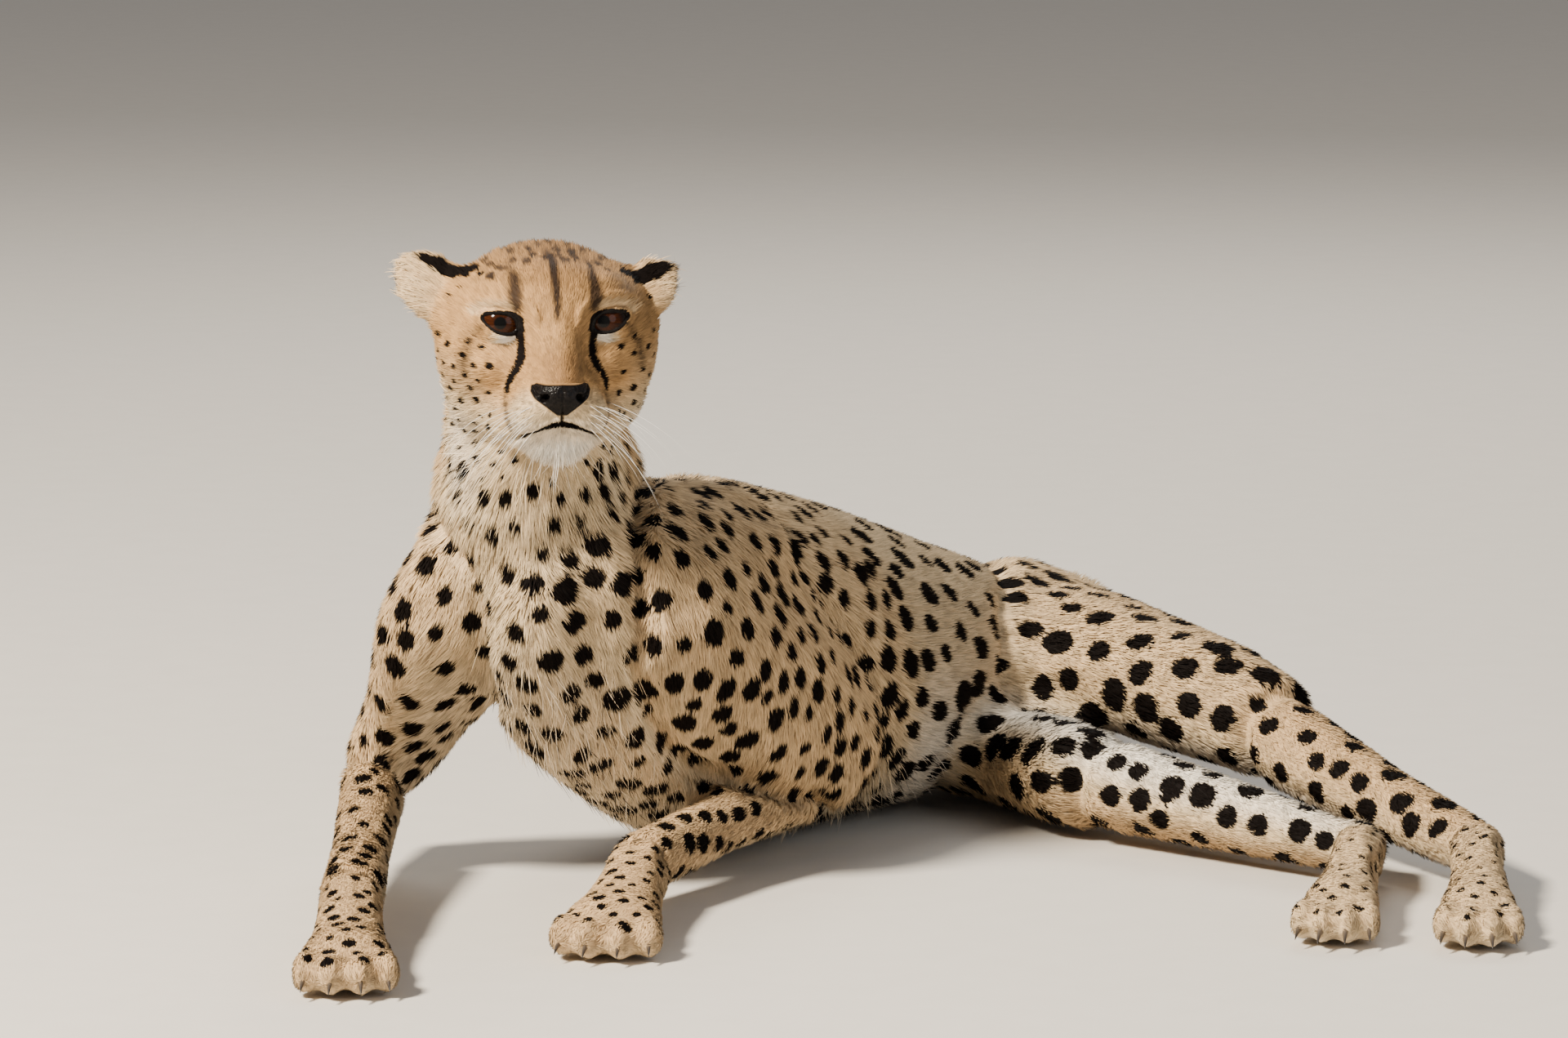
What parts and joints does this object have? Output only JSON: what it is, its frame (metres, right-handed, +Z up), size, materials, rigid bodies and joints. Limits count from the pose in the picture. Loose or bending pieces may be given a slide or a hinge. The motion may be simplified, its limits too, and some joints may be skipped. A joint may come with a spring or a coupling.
{
  "type": "cheetah, resting",
  "caption": "Adult cheetah lying on a flat floor with its head raised to look ahead, forelegs stretched out, hips rolled over, hind legs to its left and tail curled behind.",
  "frame": {"origin": "centre of the whole animal's box, at floor level", "axes": "+Z up; the chest and the face look toward -Y; the animal's own left is +X; its body runs back toward +Y and +X"},
  "size_m": [0.8036, 1.1568, 0.4472],
  "materials": {
    "coat": "short dense spotted fur",
    "eye": "wet, dark amber",
    "claw": "smooth horn"
  },
  "bodies": {
    "root": {"head": "coat", "neck": "coat", "chest": "coat", "abdomen": "coat", "pelvis": "coat", "ear_left": "coat", "ear_right": "coat", "upper_arm_left": "coat", "forearm_left": "coat", "forepaw_left": "coat", "thigh_left": "coat", "shin_left": "coat", "hindfoot_left": "coat", "upper_arm_right": "coat", "forearm_right": "coat", "forepaw_right": "coat", "thigh_right": "coat", "shin_right": "coat", "hindfoot_right": "coat", "tail_base": "coat", "tail_middle": "coat", "tail_rings": "coat", "tail_tip": "coat", "eye_left": "eye", "eye_right": "eye", "claw_forepaw_left_1": "claw", "claw_forepaw_left_2": "claw", "claw_forepaw_left_3": "claw", "claw_forepaw_left_4": "claw", "claw_forepaw_right_1": "claw", "claw_forepaw_right_2": "claw", "claw_forepaw_right_3": "claw", "claw_forepaw_right_4": "claw", "claw_hindfoot_left_1": "claw", "claw_hindfoot_left_2": "claw", "claw_hindfoot_left_3": "claw", "claw_hindfoot_left_4": "claw", "claw_hindfoot_right_1": "claw", "claw_hindfoot_right_2": "claw", "claw_hindfoot_right_3": "claw", "claw_hindfoot_right_4": "claw"}
  },
  "joints": []
}
